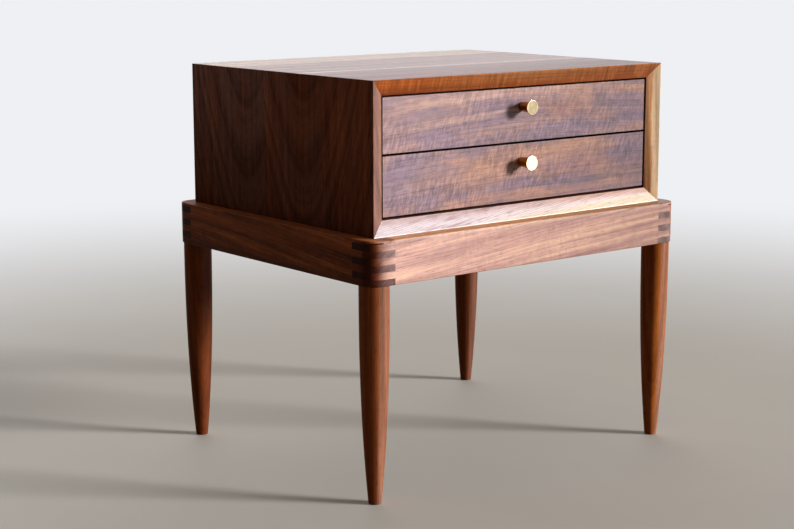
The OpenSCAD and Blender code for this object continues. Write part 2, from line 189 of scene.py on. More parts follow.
class Wood(Paint):
    """Solid wood: rings round a heart, fibres and pores all run through the board.

    along and across are the board's grain and width, heart is where the tree's centre lies from the
    object's origin in the board's own axes, and tones are its dark, middle and light colours. ring is
    the width of a growth ring and taper how many rings the tree loses in a metre. bend gives the
    grain's slope and its change of slope, fade how much lighter the wood is painted a metre further
    along, which is painted light falloff, and joins lists glue lines, each with its object axis, its
    place and how far the tree jumps.
    ripple is how many curly ripples there are to a metre, broken how often they break off across the
    grain, slant how they lean and curl how strong they show. banded, streaked, mottled, fine and late
    say the same of the rings, the streaks, the clouds, the fibres and the rings' dark late wood."""

    def __init__(self, name, along, across, heart, tones, ring=4.0 * mm, drift=8.0 * mm, taper=0.0,
                 bend=(0.0, 0.0), painted_falloff=0.0, joins=(), curl=0.1, slant=0.15, ripple=230.0, broken=38.0,
                 banded=0.62, streaked=0.34, mottled=0.15, fine=0.26, late=0.3):
        super().__init__(bpy.data.materials.new(name))
        self.here = self.node("ShaderNodeTexCoord", {}, {}, "Object")
        self.turn, self.heart, self.bend = Matrix((along, across, along.cross(across))), Vector(heart), bend
        turned_here = {"Vector": self.here, "Rotation": self.turn.to_euler(), "Location": -self.heart}
        place = self.node("ShaderNodeMapping", {}, turned_here)
        for side, edge, jump in joins:
            beyond = self.past(side, edge - glue_line, edge + glue_line)
            place = self.vector("ADD", place, self.vector("MULTIPLY", self.all_axes(beyond), jump))
        run = self.axis(place, "X")
        lift = run * bend[0] + run * run * bend[1]
        self.straight = self.vector("SUBTRACT", place, self.node("ShaderNodeCombineXYZ", {}, {1: lift}))
        wander = self.noise(self.straight, (1.6, 8.0, 8.0), detail=2.0, output=1)
        self.place = self.vector("MULTIPLY_ADD", wander, (0.0, drift, drift), self.straight)
        across_only = self.vector("MULTIPLY", self.place, (0.0, 1.0, 1.0))
        self.rings = self.vector("LENGTH", across_only, output="Value") / ring + run * taper

        bands = self.rise(self.noise_along(self.rings * 0.45, detail=2.0), 0.28, 0.72)
        streaks = self.rise(self.noise(self.place, (2.2, 75.0, 75.0), detail=3.0), 0.28, 0.72)
        fibre = self.rise(self.noise(self.place, (8.0, 420.0, 420.0), detail=2.0), 0.25, 0.75)
        saw = self.maths("FRACT", self.rings + streaks * 0.35)
        self.late = saw ** 5.0 * (1.0 - self.rise(saw, 0.90, 1.0))
        dashes = self.noise(self.place, (75.0, 950.0, 950.0), detail=1.0) + (1.0 - saw) * 0.05
        self.pores = self.rise(dashes, 0.60, 0.74)

        mottle = self.rise(self.noise(self.place, (55.0, 120.0, 120.0), detail=3.0), 0.28, 0.72)
        rough_bands = (bands - 0.5) * banded + (mottle - 0.5) * mottled
        self.tone = 0.5 + rough_bands + (streaks - 0.5) * streaked + (fibre - 0.5) * fine
        dark, middle, light = tones
        self.base = self.ramp(self.tone, [(0.12, dark), (0.5, middle), (0.88, light)])

        clouds = self.noise(self.place, (7.0, 18.0, 18.0), detail=1.0)
        leaning = self.node("ShaderNodeCombineXYZ", {}, {0: self.axis(self.place, "Y") * slant})
        waves = self.noise(self.vector("ADD", self.place, leaning), (ripple, broken, broken), detail=1.5)
        self.ripples = self.rise(waves, 0.3, 0.7)
        self.curl = (self.ripples - 0.5) * 2.0 * self.rise(clouds, 0.32, 0.60)
        further = self.vector("DOT_PRODUCT", self.here, along * painted_falloff, output="Value")
        marks = (1.0 + self.curl * curl) * (1.0 - self.late * late) * (1.0 - self.pores * 0.3)
        self.shade = marks * (1.0 + further)
        self.height = self.curl * curl * 2.0 - self.pores * 0.6 - self.late * 0.2 + fibre * 0.3
        self.end = self.rise(self.maths("ABSOLUTE", self.facing(along)), 0.45, 0.95)

    def past(self, side, low, high):
        """A smooth step along an object axis, from 0 before low to 1 past high."""
        return self.rise(self.axis(self.here, side), low, high)

    def all_axes(self, value):
        return self.node("ShaderNodeCombineXYZ", {}, {0: value, 1: value, 2: value})

    def facing(self, direction):
        """How far the surface faces a direction, from -1 to 1."""
        normal = self.node("ShaderNodeNewGeometry", {}, {}, "Normal")
        return self.vector("DOT_PRODUCT", normal, direction, output="Value")

    def wash(self, mask, colour, keep=0.8):
        """Changes the wood's colour where the mask is 1, and keeps so much of its grain."""
        self.base = self.mix(mask, self.base, self.dimmed(colour, 1.0 + (self.tone - 0.5) * keep))

    def spot(self, centre, size):
        """A soft patch around a point, 0 past its size along the grain, across it and through it."""
        middle = self.turn @ Vector(centre) - self.heart
        middle.y -= middle.x * self.bend[0] + middle.x * middle.x * self.bend[1]
        away = self.vector("DIVIDE", self.vector("SUBTRACT", self.straight, middle), size)
        rough = self.noise(self.straight, (16.0, 60.0, 60.0), detail=3.0, output=1)
        centred = self.vector("SUBTRACT", away, (0.6, 0.6, 0.6))
        ragged = self.vector("MULTIPLY_ADD", rough, (1.2, 1.2, 1.2), centred)
        return 1.0 - self.rise(self.vector("LENGTH", ragged, output="Value"), 0.0, 1.0)

    def polished(self, rough=0.42, gloss=0.5, coat=0.0, coat_rough=0.35, end=(0.10, 0.055, 0.040)):
        """Joins it all up and returns the finished material."""
        relief = {"Height": self.height, "Distance": 0.12 * mm, "Strength": 0.5}
        if end:
            self.wash(self.end, end)
        self.plug(self.surface, {
            "Base Color": self.dimmed(self.base, self.shade),
            "Roughness": rough + self.pores * 0.12 + self.end * 0.12,
            "Specular IOR Level": gloss,
            "Coat Weight": coat,
            "Coat Roughness": coat_rough,
            "Normal": self.node("ShaderNodeBump", {}, relief),
        })
        return self.owner


def turned(outline, turns):
    """A solid of revolution about z from its half outline, given as pairs of radius and height."""
    bm = bmesh.new()
    points = [bm.verts.new((radius, 0.0, height)) for radius, height in outline]
    edges = [bm.edges.new(pair) for pair in zip(points, points[1:])]
    bmesh.ops.spin(bm, geom=points + edges, cent=(0, 0, 0), axis=Z, angle=math.tau, steps=turns,
                   use_merge=True)
    bmesh.ops.remove_doubles(bm, verts=bm.verts, dist=weld)
    return bm


def finished(name, bm, material, slot, body, *nodes):
    """Makes a bmesh a smooth-shaded piece, which stands for its CAD nodes and rides on their body."""
    bmesh.ops.recalc_face_normals(bm, faces=bm.faces)
    mesh = bpy.data.meshes.new(name)
    bm.to_mesh(mesh)
    bm.free()
    mesh.shade_smooth()
    mesh.set_sharp_from_angle(angle=crisp_angle)
    mesh.materials.append(material)
    piece = bpy.data.objects.new(name, mesh)
    bpy.context.scene.collection.objects.link(piece)
    normals = piece.modifiers.new("even_normals", "WEIGHTED_NORMAL")
    normals.keep_sharp = True
    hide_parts(*nodes)
    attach(piece, body)


def rounding(radius, centre, start, stop, steps=4):
    """Points on a round edge, from one angle to another, in degrees."""
    angles = [math.radians(start + (stop - start) * k / steps) for k in range(steps + 1)]
    return [(centre[0] + radius * math.cos(a), centre[1] + radius * math.sin(a)) for a in angles]


leg_low, leg_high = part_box("front_left_leg")
leg_r = (leg_high.x - leg_low.x) / 2
shoulder_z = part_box("front_rail")[0].z


def leg_radius(z):
    return leg_r - (leg_r - leg_foot_r) * (1 - z / shoulder_z) ** leg_taper


def leg_outline():
    foot_in = leg_radius(leg_foot_round) - leg_foot_round
    top_z = shoulder_z - leg_shoulder_round
    heights = [leg_foot_round + (top_z - leg_foot_round) * k / leg_steps for k in range(1, leg_steps)]
    return [
        (0.0, 0.0),
        *rounding(leg_foot_round, (foot_in, leg_foot_round), -90, 0),
        *[(leg_radius(z), z) for z in heights],
        *rounding(leg_shoulder_round, (leg_radius(top_z) - leg_shoulder_round, top_z), 0, 90),
        (tenon_r, shoulder_z),
        (tenon_r, leg_high.z - tenon_chamfer),
        (tenon_r - tenon_chamfer, leg_high.z),
        (0.0, leg_high.z),
    ]


leg_tones = ((0.27, 0.060, 0.013), (0.39, 0.092, 0.023), (0.50, 0.135, 0.038))
# Each leg: its heart, taper, how light its tones are, a middle colour and a pale colour. The middle colour
# is painted light where the leg turns from the window and painted shade along the edge that faces it most;
# the pale colour is a painted sheen on the side towards the window.
leg_looks = {
    "front_left": ((0.00, -0.335, -0.170), 5.0, 0.62, (0.28, 0.070, 0.020), (0.36, 0.146, 0.082)),
    "front_right": ((0.30, 0.215, -0.285), -16.0, 0.78, (0.49, 0.132, 0.024), (0.37, 0.150, 0.080)),
    "back_left": ((0.70, -0.250, 0.300), 9.0, 0.42, (0.18, 0.041, 0.011), (0.17, 0.042, 0.013)),
    "back_right": ((1.10, 0.340, 0.160), -7.0, 0.40, (0.15, 0.037, 0.012), (0.20, 0.078, 0.046)),
}
for place, (heart, taper, light, middle, pale) in leg_looks.items():
    low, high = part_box(place + "_leg")
    tones = [[channel * light for channel in tone] for tone in leg_tones]
    wood = Wood(place + "_leg_walnut", Z, X, heart, tones, ring=2.6 * mm, drift=7.0 * mm, taper=taper,
                banded=0.4, curl=0.02, late=0.3)
    # Painted light by how far the surface faces the window: lighter at the turn, a painted sheen on the
    # side towards it, and a little painted shade along the edge that faces it most.
    to_window = wood.facing(window_side)
    window_side_painted_sheen = wood.rise(to_window, 0.36, 0.60)
    wood.wash(wood.rise(to_window, -0.10, 0.15), middle)
    wood.wash(window_side_painted_sheen, pale)
    wood.wash(wood.rise(to_window, 0.84, 0.98) * 0.35, middle)
    bm = turned(leg_outline(), leg_turns)
    bmesh.ops.translate(bm, verts=bm.verts, vec=((low.x + high.x) / 2, (low.y + high.y) / 2, 0.0))
    walnut = wood.polished(gloss=0.02, coat=window_side_painted_sheen * 0.12)
    finished(place + "_turned_leg", bm, walnut, "leg_walnut", "stand", place + "_leg")


# Base frame
# Four thick walnut rails with finger joints at the corners, glued, rounded over and flush. The side
# rails own the lowest finger and every second one above it, so end grain shows dark on each face.
corner_r = 23.0 * mm
rail_ease = 1.3 * mm
rail_ease_steps = 3
finger_t = 9.8 * mm
whole_fingers = 6
square_angle = math.radians(60)
flat_angle = math.radians(0.4)
frame_low, frame_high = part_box("left_rail")
half_w, half_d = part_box("right_rail")[1].x, frame_high.y
under_z, ledge_z = frame_low.z, frame_high.z
short_z = under_z + whole_fingers * finger_t


def joined_copy(node):
    """A CAD node's mesh with its loose triangles joined and its flat faces whole."""
    bm = bmesh.new()
    bm.from_mesh(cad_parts[node].data)
    bmesh.ops.remove_doubles(bm, verts=bm.verts, dist=weld)
    bmesh.ops.dissolve_limit(bm, angle_limit=flat_angle, verts=bm.verts, edges=bm.edges)
    return bm


def eased(bm, edges, radius, steps):
    """Rounds over the given edges."""
    bmesh.ops.bevel(bm, geom=edges, offset=radius, offset_type="OFFSET", segments=steps, profile=0.5,
                    affect="EDGES", clamp_overlap=True, material=-1)


def on_outline(co):
    """Whether a point lies on the frame's outer face, the rounded corners included."""
    over_x = max(abs(co.x) - (half_w - corner_r), 0.0)
    over_y = max(abs(co.y) - (half_d - corner_r), 0.0)
    return abs(math.hypot(over_x, over_y) - corner_r) < 0.1 * mm


def frame_arrises(bm):
    """The edges around the outside of the frame, at its top and its underside."""

    def on_arris(co):
        return on_outline(co) and min(abs(co.z - under_z), abs(co.z - ledge_z)) < weld

    around = [e for e in bm.edges if all(on_arris(v.co) for v in e.verts)]
    return [e for e in around if e.is_manifold and e.calc_face_angle() > square_angle]


# The front rail's pale pink tones are partly lighter wood and partly a painted sheen of the window.
front_rail_tones_and_sheen = ((0.46, 0.258, 0.242), (0.665, 0.386, 0.316), (0.86, 0.530, 0.375))
side_tones = ((0.050, 0.012, 0.004), (0.205, 0.050, 0.014), (0.420, 0.120, 0.036))
far_tones = ((0.140, 0.058, 0.034), (0.270, 0.120, 0.072), (0.400, 0.200, 0.130))
rail_end = (0.034, 0.011, 0.007)
left_ends = [(0.0, (0.215, 0.112, 0.112)), (1.0, (0.380, 0.240, 0.220))]
right_ends = [(0.0, (0.217, 0.131, 0.120)), (1.0, (0.217, 0.131, 0.120))]
dark_ends = [(0.0, rail_end), (1.0, rail_end)]
ledge_orange = (0.71, 0.345, 0.168)
ledge_brown = (0.386, 0.110, 0.035)
ledge_far = (0.330, 0.150, 0.090)
ledge_corner = (0.560, 0.225, 0.090)
corner_red_painted_light = (0.50, 0.115, 0.030)
corner_painted_shade = (0.14, 0.030, 0.010)
corner_shade = (0.080, 0.018, 0.006)
short_finger = (0.60, 0.360, 0.290)
underside_painted_shade = (0.070, 0.020, 0.008)
low_arris_painted_shade = (0.420, 0.240, 0.200)
high_arris_painted_highlight = (0.900, 0.630, 0.510)
amber = (0.330, 0.085, 0.025)
rails = {
    # The front rail is painted darker towards its right end, as painted light falloff.
    "front": (X, (-0.20, 0.375, 0.190), front_rail_tones_and_sheen, ledge_orange, dark_ends, 0.02,
              {"painted_falloff": -0.9, "banded": 0.28, "fine": 0.38}),
    "back": (X, (0.90, 0.280, -0.330), far_tones, ledge_far, dark_ends, 0.03, {"banded": 0.50}),
    "left": (Y, (0.40, 0.300, -0.180), side_tones, ledge_brown, left_ends, 0.02,
             {"banded": 0.50, "fine": 0.34}),
    "right": (Y, (1.50, 0.390, 0.150), far_tones, ledge_far, right_ends, 0.15, {"banded": 0.50}),
}
for place, (along, heart, tones, ledge, ends, gloss, figure) in rails.items():
    wood = Wood(place + "_rail_walnut", along, Z, heart, tones, ring=5.5 * mm, drift=16.0 * mm,
                bend=(0.08, 0.0), curl=0.06, **figure)
    forward = wood.facing(-Y)
    on_top = wood.rise(wood.facing(Z), 0.03, 0.30)
    if place in ("front", "left"):
        near_corner = 1.0 - wood.past("X", 4.5 * mm - half_w, 40.0 * mm - half_w)
    # The front rail's paint: painted shade along its bottom edge, a painted highlight along its rounded top
    # arris, a red painted grazing light wherever it turns from the front, and painted shade at its left
    # corner.
    if place == "front":
        wood.wash((1.0 - wood.past("Z", under_z, under_z + 11.0 * mm)) * 0.5, low_arris_painted_shade)
        wood.wash(wood.past("Z", ledge_z - 7.0 * mm, ledge_z - 0.5 * mm) * 0.85, high_arris_painted_highlight)
        wood.wash(1.0 - wood.rise(forward, 0.80, 1.0), corner_red_painted_light)
        wood.wash(near_corner, corner_painted_shade)
    # On the left rail: a lighter amber band high up, painted shade along its bottom edge, and painted shade
    # near its front corner.
    if place == "left":
        below_ledge = 1.0 - wood.past("Z", ledge_z - 12.0 * mm, ledge_z)
        wood.wash(wood.past("Z", under_z + 33.0 * mm, under_z + 47.0 * mm) * below_ledge * 0.7, amber)
        wood.wash((1.0 - wood.past("Z", under_z, under_z + 19.0 * mm)) * 0.85, underside_painted_shade)
        wood.wash((1.0 - wood.past("Y", -half_d, 52.5 * mm - half_d)) * 0.7, corner_shade)
    if place in ("left", "right"):
        at_short = wood.past("Z", short_z - 1.2 * mm, short_z - 0.8 * mm)
        short = at_short * wood.rise(forward, 0.5, 0.7)
        wood.end = wood.rise(wood.maths("ABSOLUTE", forward), 0.75, 1.0) * (1.0 - short)
        wood.wash(short, short_finger)
    wood.end = wood.end * (1.0 - on_top)
    wood.wash(wood.end, wood.ramp(wood.past("Z", under_z, under_z + 49.0 * mm), ends))
    if place == "left":
        # Round the left corner: painted shade, and a red painted grazing light on the short top finger.
        short_round = at_short * wood.rise(forward, 0.35, 0.60)
        wood.wash(near_corner * wood.rise(forward, 0.0, 0.3) * (1.0 - short_round) * 0.85, corner_shade)
        wood.wash(short_round * (1.0 - wood.rise(forward, 0.80, 1.0)) * 0.8, corner_red_painted_light)
    wood.wash(on_top, ledge)
    if place == "left":
        at_front = 1.0 - wood.past("Y", -half_d, 37.5 * mm - half_d)
        wood.wash(on_top * at_front * 0.8, ledge_corner)
    bm = joined_copy(place + "_rail")
    eased(bm, frame_arrises(bm), rail_ease, rail_ease_steps)
    board = wood.polished(gloss=gloss, end=None)
    finished(place + "_rail_board", bm, board, "rail_walnut", "stand", place + "_rail")


# Case
# Four walnut boards, mitred at the corners with a hidden spline in each mitre. Their front edges are
# bevelled inwards like a picture frame, and the sharp edges are eased by hand.
case_ease = 0.45 * mm
case_ease_steps = 2
mitre_round = 1.3 * mm
mitre_cuts = 3
bevel_depth = 10.0 * mm
least_length = 100.0 * mm
slight_angle = math.radians(15)
opening_shade = (0.030, 0.016, 0.011)
case_low, case_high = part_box("case_left_side")[0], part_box("case_right_side")[1]
case_w = case_high.x - case_low.x


def long_edges(bm, direction):
    """The outward edges that run along a direction for most of a board's length."""
    return [
        e for e in bm.edges
        if e.is_manifold and e.is_convex and e.calc_length() > least_length
        and abs((e.verts[1].co - e.verts[0].co).normalized().dot(direction)) > 0.999
        and e.calc_face_angle() > slight_angle
    ]


def rounded_corner(bm, corner, out_x, out_z):
    """Rounds a board's share of a mitred corner: planes that touch the round cut it back."""
    centre = corner - mitre_round * (out_x + out_z)
    for k in range(mitre_cuts):
        angle = math.radians(90.0 * (k + 0.5) / mitre_cuts)
        normal = out_x * math.cos(angle) + out_z * math.sin(angle)
        geom = [*bm.verts, *bm.edges, *bm.faces]
        bmesh.ops.bisect_plane(bm, geom=geom, dist=weld, plane_co=centre + normal * mitre_round,
                               plane_no=normal, clear_outer=True)
        bmesh.ops.holes_fill(bm, edges=[e for e in bm.edges if e.is_boundary], sides=0)


def shaded_opening(wood, inward, share=1.0):
    """Paints shade on the strip just inside the case's front opening, behind the bevel."""
    edge = case_low.y + bevel_depth
    strip = wood.past("Y", edge + 0.2 * mm, edge + 1.0 * mm)
    strip = strip * (1.0 - wood.past("Y", edge + 4.0 * mm, edge + 26.0 * mm))
    wood.wash(wood.rise(wood.facing(inward), 0.5, 0.8) * strip * share, opening_shade)


def case_board(node, walnut, direction, corners):
    """A board of the case, its long edges eased and the given corners of the case rounded on it."""
    bm = joined_copy(node)
    eased(bm, long_edges(bm, direction), case_ease, case_ease_steps)
    for sign_x, sign_z in corners:
        edge_x = case_high.x if sign_x > 0 else case_low.x
        edge_z = case_high.z if sign_z > 0 else case_low.z
        rounded_corner(bm, Vector((edge_x, 0.0, edge_z)), sign_x * X, sign_z * Z)
    finished(node + "_board", bm, walnut, "case_walnut", "stand", node)


# Case top
# Two walnut planks glued edge to edge. The back one has pale sapwood along its edge and a cream line
# near the joint, and the bevel in front shows curly orange-brown wood. It is waxed to a soft sheen.
top_tones = ((0.14, 0.062, 0.050), (0.37, 0.185, 0.155), (0.57, 0.325, 0.275))
top_bevels = [(0.15, (0.55, 0.120, 0.012)), (0.50, (0.53, 0.190, 0.055)), (0.85, (0.42, 0.118, 0.023))]
low_bevels = [(0.50, (0.42, 0.085, 0.012)), (0.80, (0.34, 0.060, 0.009))]
front_strip = (0.245, 0.088, 0.074)
line_cream = (0.78, 0.510, 0.440)
sap_cream = (0.73, 0.485, 0.365)
ripple_gold_and_sheen = (0.63, 0.250, 0.080)
ripple_brown = (0.30, 0.078, 0.012)
top_joint = case_low.y + 150.0 * mm
cream_y = top_joint + 24.0 * mm
dull_y = top_joint - 19.0 * mm
sap_y = case_high.y - 108.0 * mm

# The top is painted a little darker towards the right, as painted light falloff.
top = Wood("case_top_walnut", X, Y, (-0.30, -0.160, 0.470), top_tones, ring=5.0 * mm, drift=14.0 * mm,
           taper=4.0, painted_falloff=-0.25, joins=[("Y", top_joint, (0.7, 0.21, 0.05))], curl=0.16, slant=-0.25,
           ripple=290.0, broken=26.0)
top.wash(1.0 - top.past("Y", top_joint - glue_line, top_joint + glue_line), front_strip, keep=1.3)
from_cream = top.maths("ABSOLUTE", top.axis(top.here, "Y") - cream_y)
top.wash((1.0 - top.rise(from_cream, 3.0 * mm, 12.0 * mm)) * 0.85, line_cream)
top_waves = (top.noise(top.here, (5.0, 5.0, 5.0), detail=2.0) - 0.5) * (50.0 * mm)
top_sap = top.axis(top.here, "Y") - top.axis(top.here, "X") * 0.03 + top_waves
top.wash(top.rise(top_sap, sap_y, sap_y + 10.0 * mm), sap_cream)

top_bevel = top.rise(top.facing(-Y), 0.5, 0.8)
along_bevel = top.axis(top.here, "X") / case_w + 0.5
low_edge = 1.0 - top.past("Z", case_high.z - 20.0 * mm, case_high.z - 6.0 * mm)
right_end = top.past("X", case_high.x - 200.0 * mm, case_high.x - 60.0 * mm)
troughs = (1.0 - top.rise(top.ripples, 0.0, 0.5)) * (0.30 + right_end * 0.40)
top.wash(top_bevel, top.ramp(along_bevel, top_bevels), keep=0.5)
top.wash(top_bevel * low_edge * 0.8, top.ramp(along_bevel, low_bevels), keep=0.5)
# Paler crests, partly a painted sheen on the curly ripples, and darker troughs of the figure.
top.wash(top_bevel * top.rise(top.ripples, 0.5, 1.0) * 0.22, ripple_gold_and_sheen)
top.wash(top_bevel * troughs, ripple_brown)
shaded_opening(top, -Z)

dull_line = 1.0 - top.rise(top.maths("ABSOLUTE", top.axis(top.here, "Y") - dull_y), 5.0 * mm, 16.0 * mm)
dull_strip = 1.0 - top.past("Y", case_low.y + 76.0 * mm, case_low.y + 111.0 * mm) + dull_line * 0.7
top_sheen = top.rise(top.facing(Z), 0.5, 0.9) * (0.33 - dull_strip * 0.18)
case_board("case_top", top.polished(coat=top_sheen), X, [(-1, 1), (1, 1)])


# Case sides
# Walnut boards with upright grain. The left one is glued from two planks, the front one redder. The
# right one has a pale strip of sapwood along its front edge, which shows on the bevel.
left_tones = ((0.150, 0.047, 0.026), (0.250, 0.078, 0.041), (0.370, 0.118, 0.055))
left_shade = (0.110, 0.030, 0.012)
left_red = (0.290, 0.080, 0.032)
left_cool = (0.190, 0.080, 0.056)
left_upper_pale = (0.360, 0.165, 0.125)
left_bevel_outer = (0.27, 0.145, 0.118)
left_bevel_inner = (0.33, 0.165, 0.110)
back_half = (0.220, 0.100, 0.073)
right_bevel_brown = (0.54, 0.240, 0.090)
right_sap = (0.82, 0.545, 0.320)
left_joint = case_low.y + 258.0 * mm
right_sap_slope = 0.30
right_sap_from = case_high.x - 15.0 * mm - case_low.y * right_sap_slope

left = Wood("case_left_side_walnut", Z, Y, (0.43, -0.058, 0.205), left_tones, ring=6.0 * mm,
            drift=12.0 * mm, taper=-45.0, joins=[("Y", left_joint, (0.02, -0.144, 0.0))], curl=0.02,
            late=0.25, banded=0.42)
left.wash(left.past("Y", left_joint - glue_line, left_joint + glue_line) * 0.75, back_half, keep=1.3)
left_hues = left.noise(left.straight, (4.0, 16.0, 16.0), detail=2.0)
left.wash(left.rise(left_hues, 0.50, 0.62) * 0.6, left_red, keep=1.3)
left.wash((1.0 - left.rise(left_hues, 0.38, 0.50)) * 0.6, left_cool, keep=1.3)
left_high = left.past("Z", case_low.z + 86.0 * mm, case_low.z + 226.0 * mm)
left_low = 1.0 - left.past("Z", case_low.z - 4.0 * mm, case_low.z + 156.0 * mm)
# Paler and duller high up in the middle of the board.
left.wash(left.past("Y", -60.0 * mm, 60.0 * mm) * left_high * 0.6, left_upper_pale, keep=1.2)
left.wash(left_low * 0.6, left_shade, keep=1.2)
shaded_opening(left, X)
left_bevel = left.rise(left.facing(-Y), 0.2, 0.5)
left_inner = left.past("X", case_low.x + 11.5 * mm, case_low.x + 17.5 * mm)
left.wash(left_bevel, left_bevel_outer)
left.wash(left_bevel * left_inner, left_bevel_inner)
case_board("case_left_side", left.polished(gloss=0.0), Z, [(-1, -1), (-1, 1)])

right = Wood("case_right_side_walnut", Z, Y, (0.80, -0.050, 0.520), far_tones, ring=4.4 * mm,
             drift=12.0 * mm, taper=10.0, curl=0.03, mottled=0.05, late=0.18)
right_waves = (right.noise(right.here, (4.0, 4.0, 11.0), detail=2.0) - 0.5) * (12.0 * mm)
sap_depth = right.axis(right.here, "X") - right.axis(right.here, "Y") * right_sap_slope + right_waves
right.wash(right.rise(right.facing(-Y), 0.5, 0.8), right_bevel_brown)
right.wash(right.rise(sap_depth, right_sap_from, right_sap_from + 3.4 * mm), right_sap)
shaded_opening(right, -X)
case_board("case_right_side", right.polished(), Z, [(1, -1), (1, 1)])


# Case bottom
# A walnut board of which only the front bevel shows on the closed stand. The bevel has close, pink
# grain at a slight slant, with a strip of sapwood that widens low down towards the right.
bottom_grain_angle = math.radians(8)
bottom_grain = Vector((math.cos(bottom_grain_angle), 0.0, math.sin(bottom_grain_angle)))
# The bevel's near-white pinks low down are pale wood with a painted sheen of the window, and the darker
# pinks along its top edge are partly painted shade under the drawer gap.
outer_pinks_and_sheen = [(0.15, (0.62, 0.450, 0.450)), (0.55, (0.96, 0.830, 0.860))]
inner_pinks_and_shade = [(0.15, (0.38, 0.215, 0.195)), (0.60, (0.56, 0.345, 0.325))]
inner_peach = (0.68, 0.390, 0.290)
outer_cream = (0.90, 0.720, 0.660)
low_sap = (0.88, 0.69, 0.49)
low_sap_slope = 0.032

bottom = Wood("case_bottom_walnut", bottom_grain, Y, (0.10, -0.120, -0.300), far_tones, ring=2.3 * mm,
              drift=5.0 * mm, curl=0.0, banded=0.2, streaked=0.7, mottled=0.2, fine=0.5, late=0.5)
bottom_waves = (bottom.noise(bottom.here, (7.0, 20.0, 20.0), detail=2.0) - 0.5) * (6.0 * mm)
below_sap = bottom.axis(bottom.here, "X") * low_sap_slope - bottom.axis(bottom.here, "Z") + bottom_waves
bottom_bevel = bottom.rise(bottom.facing(-Y), 0.2, 0.5)
bottom_inner = bottom.past("Z", case_low.z + 6.0 * mm, case_low.z + 23.0 * mm)
inner_end = bottom.past("X", -60.0 * mm, 140.0 * mm)
outer_end = bottom.past("X", -160.0 * mm, 40.0 * mm)
outer = bottom.ramp(bottom.tone, outer_pinks_and_sheen)
inner = bottom.ramp(bottom.tone, inner_pinks_and_shade)
bottom.wash(bottom_bevel, bottom.mix(bottom_inner, outer, inner), keep=0.0)
bottom.wash(bottom_bevel * inner_end * bottom_inner * 0.8, inner_peach)
bottom.wash(bottom_bevel * outer_end * (1.0 - bottom_inner) * 0.8, outer_cream, keep=0.5)
low_strip = bottom.rise(below_sap, -case_low.z - 6.0 * mm, -case_low.z - 2.5 * mm)
bottom.wash(bottom_bevel * low_strip, low_sap, keep=0.3)
shaded_opening(bottom, Z, share=0.7)
case_board("case_bottom", bottom.polished(gloss=0.2, coat=bottom_bevel), X, [(-1, -1), (1, -1)])


# Back of the case
# A thin walnut-faced panel in a rabbet, held by ten brass countersunk screws, and the maple splines
# inside the mitres. The panel keeps its CAD mesh, because its screw holes are cut to the screws.
thread_share = 0.72
thread_turn_steps = 12
head_turns = 24
cross_arm_share = 0.13
cross_reach_share = 0.62
cross_depth_share = 0.55


def dressed(node, material):
    """Gives a CAD node its material."""
    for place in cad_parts[node].material_slots:
        place.material = material


def grained(name, along, across, heart, tones, **changes):
    return Wood(name, along, across, heart, tones, **changes).polished(rough=0.6, gloss=0.3)


maple_tones = ((0.50, 0.36, 0.215), (0.64, 0.485, 0.315), (0.74, 0.60, 0.43))
back_walnut = grained("back_panel_walnut", X, Z, (0.2, 0.48, 0.16), far_tones, ring=5.0 * mm,
                      drift=14.0 * mm, taper=3.0, curl=0.03)
dressed("back_panel", back_walnut)
dressed("mitre_splines", grained("spline_maple", Y, X, (0.1, 0.3, 0.2), maple_tones, late=0.12, curl=0.02))


def metal(name, tones, rough, marks):
    """A metal with faint tooling marks, so many to the metre along each axis."""
    paint = Paint(bpy.data.materials.new(name))
    here = paint.node("ShaderNodeTexCoord", {}, {}, "Object")
    cloud = paint.noise(here, (90.0, 90.0, 90.0), detail=3.0)
    lines = paint.noise(here, marks, detail=2.0)
    dark, light = tones
    relief = {"Height": lines, "Distance": 0.02 * mm, "Strength": 0.35}
    paint.plug(paint.surface, {
        "Base Color": paint.ramp(cloud, [(0.3, dark), (0.7, light)]),
        "Metallic": 1.0,
        "Roughness": rough + (cloud - 0.5) * 0.12 + (lines - 0.5) * 0.06,
        "Normal": paint.node("ShaderNodeBump", {}, relief),
    })
    return paint.owner


def islands(node):
    """The lowest and highest corner of each separate solid of a CAD node."""
    bm = bmesh.new()
    bm.from_mesh(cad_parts[node].data)
    bmesh.ops.remove_doubles(bm, verts=bm.verts, dist=weld)
    unseen = set(bm.verts)
    corners = []
    while unseen:
        reach = [unseen.pop()]
        solid = []
        while reach:
            vert = reach.pop()
            solid.append(vert.co.copy())
            for other in [e.other_vert(vert) for e in vert.link_edges]:
                if other in unseen:
                    unseen.remove(other)
                    reach.append(other)
        low = Vector([min(co[k] for co in solid) for k in range(3)])
        high = Vector([max(co[k] for co in solid) for k in range(3)])
        corners.append((low, high))
    bm.free()
    return sorted(corners, key=lambda pair: tuple(round(c, 5) for c in (pair[0] + pair[1])))


